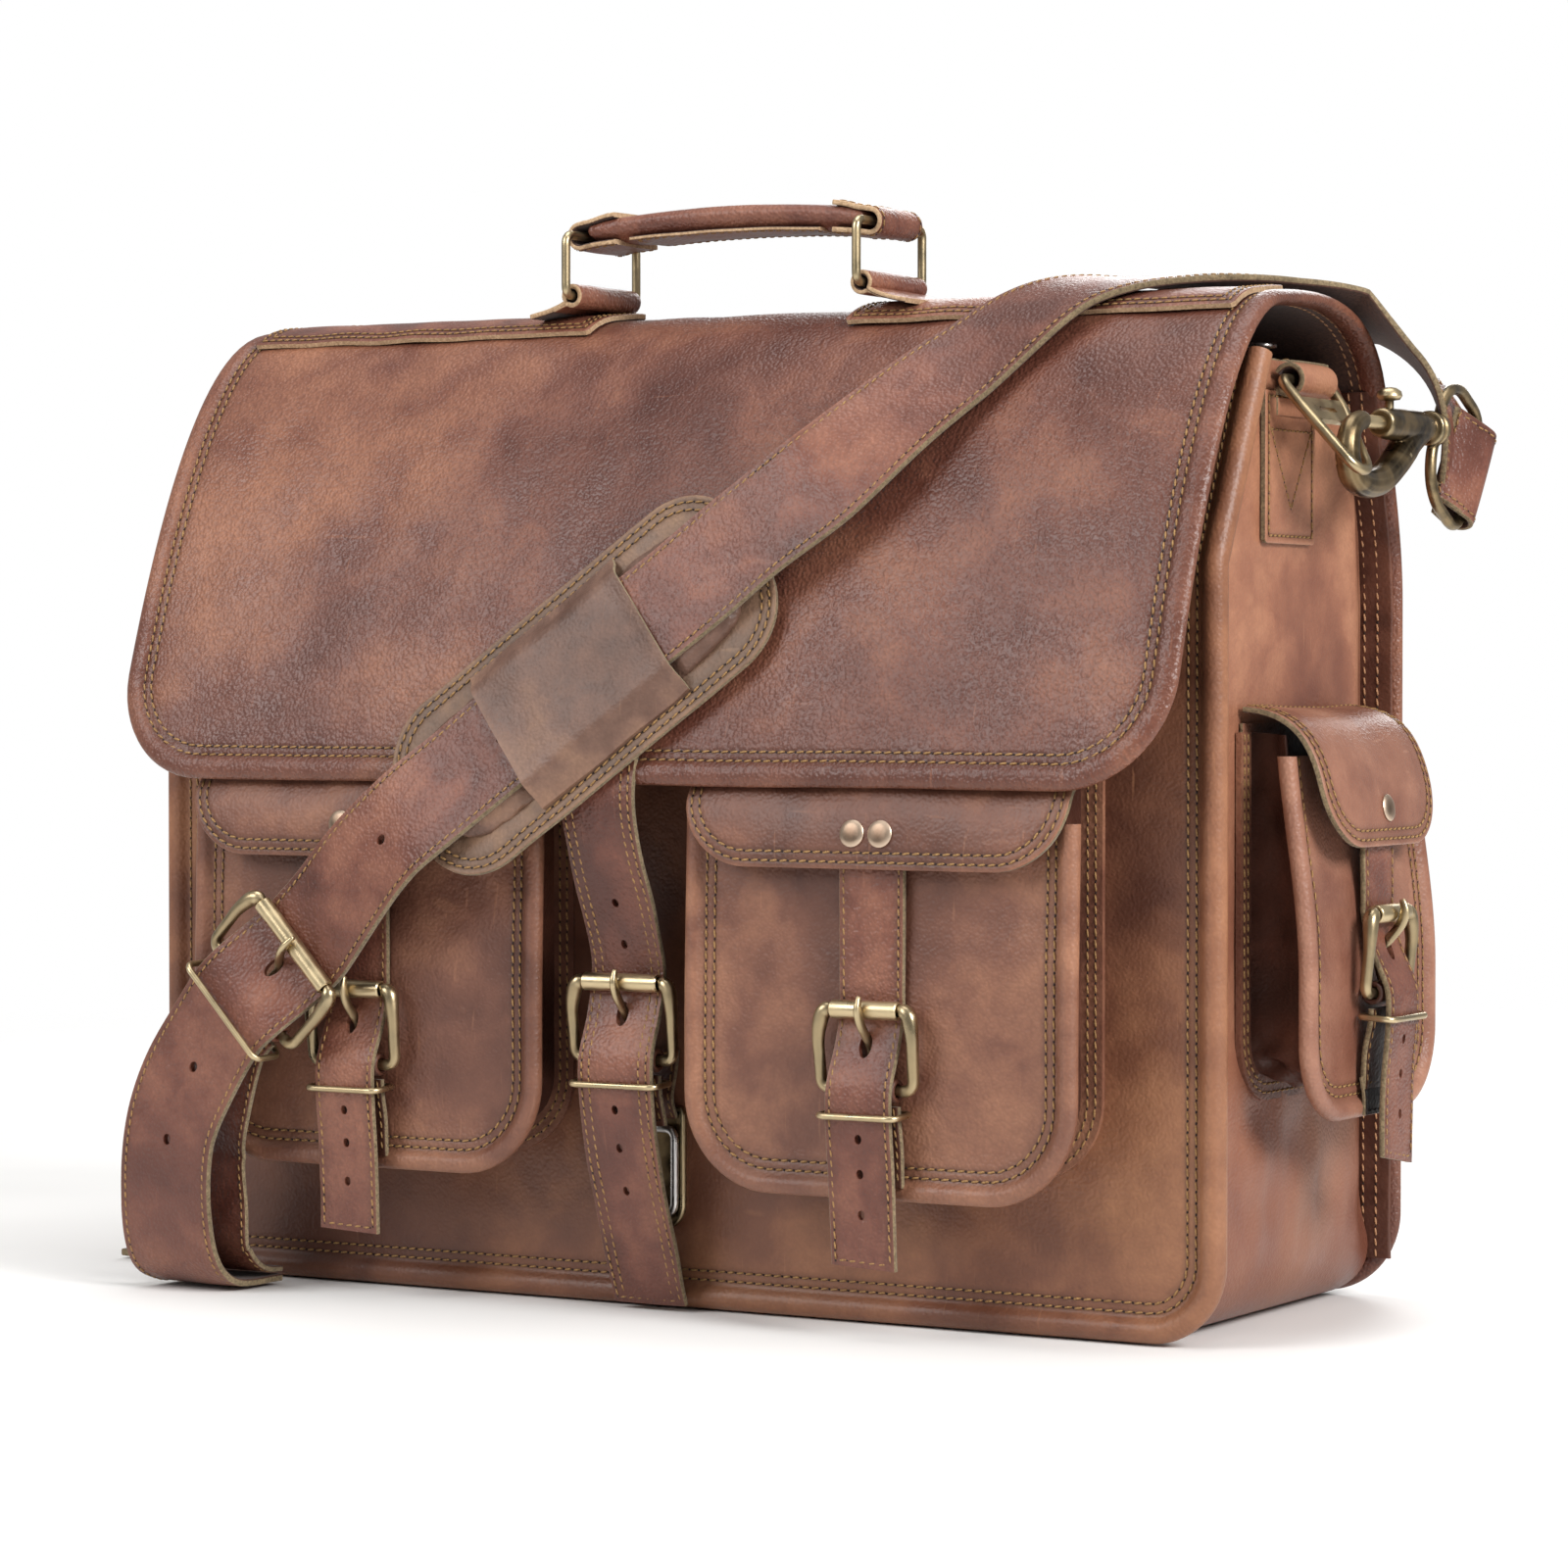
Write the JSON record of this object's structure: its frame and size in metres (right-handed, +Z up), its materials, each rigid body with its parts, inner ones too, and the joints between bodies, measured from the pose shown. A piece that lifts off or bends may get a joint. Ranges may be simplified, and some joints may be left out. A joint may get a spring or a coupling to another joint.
{
  "type": "satchel bag",
  "caption": "Brown leather satchel with a full main flap, buckled front and side pockets, a padded top handle and a shoulder strap on snap hooks.",
  "frame": {"origin": "middle of the bottom, on the surface the bag stands on", "axes": "+X along the width, to the right when looking at the front; -Y out of the front, the side with the two pockets; +Z up"},
  "size_m": [0.5201, 0.2648, 0.3935],
  "materials": {
    "body_leather": "satin",
    "flap_leather": "satin",
    "strap_leather": "satin",
    "antique_brass": "polished",
    "nickel": "polished",
    "lining": "matte"
  },
  "bodies": {
    "body": {"gusset": "body_leather", "front_panel": "body_leather", "back_panel": "body_leather", "laptop_divider": "lining", "zip_panel": "body_leather", "ring_tab_left": "strap_leather", "ring_tab_right": "strap_leather", "clip_socket": "antique_brass", "front_pocket_left": "body_leather", "front_pocket_right": "body_leather", "side_pocket_left": "body_leather", "side_pocket_right": "body_leather", "snap_hook_left": "antique_brass", "snap_hook_right": "antique_brass", "shoulder_strap_short": "strap_leather", "shoulder_strap_end": "strap_leather"},
    "zip_slider": {"zip_slider": "nickel"},
    "flap": {"main_flap": "flap_leather", "handle_base_left": "strap_leather", "handle_base_right": "strap_leather", "shoulder_strap_long": "strap_leather", "shoulder_buckle": "antique_brass", "shoulder_keeper": "antique_brass", "shoulder_chape": "strap_leather", "center_strap": "strap_leather", "center_buckle": "antique_brass", "center_keeper": "antique_brass", "center_chape": "strap_leather"},
    "pad": {"shoulder_pad": "strap_leather"},
    "handle_ring_left": {"handle_ring_left": "antique_brass"},
    "handle_ring_right": {"handle_ring_right": "antique_brass"},
    "handle_grip": {"handle_grip": "strap_leather"},
    "ring_left": {"triangle_ring_left": "antique_brass"},
    "ring_right": {"triangle_ring_right": "antique_brass"},
    "bolt_left": {"hook_bolt_left": "antique_brass"},
    "bolt_right": {"hook_bolt_right": "antique_brass"},
    "center_roller": {"center_roller": "antique_brass"},
    "shoulder_roller": {"shoulder_roller": "antique_brass"},
    "front_flap_left": {"front_pocket_flap_left": "flap_leather", "front_pocket_strap_left": "strap_leather", "front_pocket_buckle_left": "antique_brass", "front_pocket_keeper_left": "antique_brass", "front_pocket_chape_left": "strap_leather"},
    "front_roller_left": {"front_pocket_roller_left": "antique_brass"},
    "side_flap_left": {"side_pocket_flap_left": "flap_leather", "side_pocket_strap_left": "strap_leather", "side_pocket_buckle_left": "antique_brass", "side_pocket_keeper_left": "antique_brass", "side_pocket_chape_left": "strap_leather"},
    "front_flap_right": {"front_pocket_flap_right": "flap_leather", "front_pocket_strap_right": "strap_leather", "front_pocket_buckle_right": "antique_brass", "front_pocket_keeper_right": "antique_brass", "front_pocket_chape_right": "strap_leather"},
    "front_roller_right": {"front_pocket_roller_right": "antique_brass"},
    "side_flap_right": {"side_pocket_flap_right": "flap_leather", "side_pocket_strap_right": "strap_leather", "side_pocket_buckle_right": "antique_brass", "side_pocket_keeper_right": "antique_brass", "side_pocket_chape_right": "strap_leather"}
  },
  "joints": [
    {"name": "main_flap_open", "type": "hinge", "parent": "body", "child": "flap", "pos_m": [0, 0.066, 0.32], "axis": [-1, 0, 0], "range_deg": [0, 110]},
    {"name": "zip_slide", "type": "slide", "parent": "body", "child": "zip_slider", "axis": [-1, 0, 0], "range_m": [0, 0.352]},
    {"name": "handle_lean", "type": "hinge", "parent": "flap", "child": "handle_ring_left", "pos_m": [-0.061, -0.022, 0.364], "axis": [0, 1, 0], "range_deg": [-55, 55]},
    {"name": "handle_ring_right_lean", "type": "hinge", "parent": "flap", "child": "handle_ring_right", "pos_m": [0.061, -0.022, 0.364], "axis": [0, 1, 0], "range_deg": [-55, 55]},
    {"name": "handle_grip_level", "type": "hinge", "parent": "handle_ring_left", "child": "handle_grip", "pos_m": [-0.061, -0.022, 0.386], "axis": [0, 1, 0], "range_deg": [-55, 55]},
    {"name": "pad_slide", "type": "slide", "parent": "flap", "child": "pad", "axis": [0.766, 0.1829, 0.6162], "range_m": [-0.005, 0.02]},
    {"name": "center_roller_spin", "type": "hinge", "parent": "flap", "child": "center_roller", "pos_m": [0, -0.1046, 0.117], "axis": [1, 0, 0], "continuous": true},
    {"name": "shoulder_roller_spin", "type": "hinge", "parent": "flap", "child": "shoulder_roller", "pos_m": [-0.12, -0.1348, 0.128], "axis": [0.682, 0, -0.7314], "continuous": true},
    {"name": "triangle_ring_left_swing", "type": "hinge", "parent": "body", "child": "ring_left", "pos_m": [-0.215, 0, 0.326], "axis": [0, 1, 0], "range_deg": [-1, 5]},
    {"name": "hook_bolt_left_slide", "type": "slide", "parent": "body", "child": "bolt_left", "axis": [0, 1, 0], "range_m": [0, 0.01]},
    {"name": "front_flap_left_open", "type": "hinge", "parent": "body", "child": "front_flap_left", "pos_m": [-0.106, -0.079, 0.197], "axis": [-1, 0, 0], "range_deg": [0, 77]},
    {"name": "front_roller_left_spin", "type": "hinge", "parent": "front_flap_left", "child": "front_roller_left", "pos_m": [-0.106, -0.1186, 0.112], "axis": [1, 0, 0], "continuous": true},
    {"name": "side_flap_left_open", "type": "hinge", "parent": "body", "child": "side_flap_left", "pos_m": [-0.2085, 0.003, 0.214], "axis": [0, 1, 0], "range_deg": [0, 80]},
    {"name": "triangle_ring_right_swing", "type": "hinge", "parent": "body", "child": "ring_right", "pos_m": [0.215, 0, 0.326], "axis": [0, -1, 0], "range_deg": [-1, 5]},
    {"name": "hook_bolt_right_slide", "type": "slide", "parent": "body", "child": "bolt_right", "axis": [0, 1, 0], "range_m": [0, 0.01]},
    {"name": "front_flap_right_open", "type": "hinge", "parent": "body", "child": "front_flap_right", "pos_m": [0.106, -0.079, 0.197], "axis": [-1, 0, 0], "range_deg": [0, 77]},
    {"name": "front_roller_right_spin", "type": "hinge", "parent": "front_flap_right", "child": "front_roller_right", "pos_m": [0.106, -0.1186, 0.112], "axis": [1, 0, 0], "continuous": true},
    {"name": "side_flap_right_open", "type": "hinge", "parent": "body", "child": "side_flap_right", "pos_m": [0.2085, 0.003, 0.214], "axis": [0, -1, 0], "range_deg": [0, 80]}
  ],
  "couplings": [
    {"joint": "front_flap_left_open", "follows": "main_flap_open", "ratio": 0.7},
    {"joint": "front_flap_right_open", "follows": "main_flap_open", "ratio": 0.7},
    {"joint": "handle_ring_right_lean", "follows": "handle_lean", "ratio": 1},
    {"joint": "handle_grip_level", "follows": "handle_lean", "ratio": -1}
  ]
}
